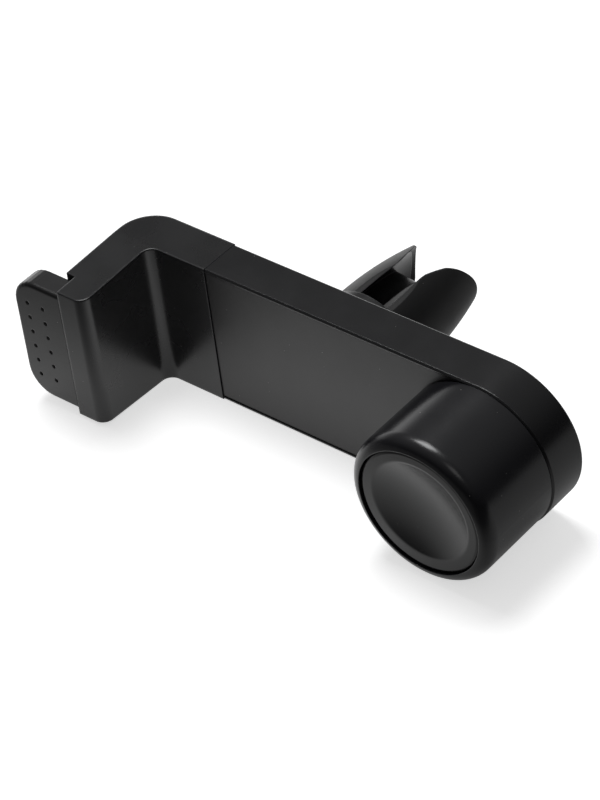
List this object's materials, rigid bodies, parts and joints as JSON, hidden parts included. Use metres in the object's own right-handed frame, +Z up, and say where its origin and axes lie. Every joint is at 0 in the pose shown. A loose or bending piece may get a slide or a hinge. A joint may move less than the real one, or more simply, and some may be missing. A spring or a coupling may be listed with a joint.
{
  "type": "phone holder",
  "caption": "Phone holder for a car air vent: a spring-loaded sliding jaw with a pull tab faces a round jaw, and a rubber-covered clip turns on the back.",
  "frame": {"origin": "on the lower long edge of the bar, at mid thickness of the bar, straight below the swivel axis of the clip", "axes": "+X along the bar to the round jaw; -Y is the phone side and +Y the vent side; +Z is up, as the holder stands on its lower edge"},
  "size_m": [0.0986, 0.0508, 0.028],
  "materials": {
    "housing_plastic": "fine moulded texture, satin",
    "plate_plastic": "fine moulded texture, satin",
    "jaw_plastic": "fine moulded texture, satin",
    "cap_plastic": "smooth, satin",
    "tab_plastic": "fine moulded texture, satin",
    "runner_plastic": "as moulded, greased",
    "clip_plastic": "polished mould, glossy",
    "sleeve_rubber": "matte",
    "ring_rubber": "smooth",
    "screw_steel": "zinc plated",
    "pin_steel": "ground",
    "washer_steel": "stamped",
    "spring_steel": "drawn wire"
  },
  "bodies": {
    "housing": {"body_shell": "housing_plastic", "front_plate": "plate_plastic", "housing_screws": "screw_steel", "round_jaw": "jaw_plastic", "round_jaw_screws": "screw_steel", "round_cap": "cap_plastic", "anchor_pins": "pin_steel", "spring_upper": "spring_steel", "spring_lower": "spring_steel", "friction_ring": "ring_rubber"},
    "jaw": {"sliding_jaw": "jaw_plastic", "jaw_back_cover": "plate_plastic", "jaw_screws": "screw_steel", "pull_tab": "tab_plastic", "slide_runner": "runner_plastic", "runner_pins": "pin_steel"},
    "clip": {"clip_core": "clip_plastic", "prong_sleeve_left": "sleeve_rubber", "prong_sleeve_right": "sleeve_rubber", "swivel_screw": "screw_steel", "swivel_washer": "washer_steel"}
  },
  "joints": [
    {"name": "jaw_slide", "type": "slide", "parent": "housing", "child": "jaw", "axis": [-1, 0, 0], "range_m": [0, 0.03], "stiffness_N_per_m": 200, "springref_m": -0.02, "deforming": ["spring_upper", "spring_lower"]},
    {"name": "clip_swivel", "type": "hinge", "parent": "housing", "child": "clip", "pos_m": [0, 0.00605, 0.014], "axis": [0, 1, 0], "continuous": true}
  ]
}
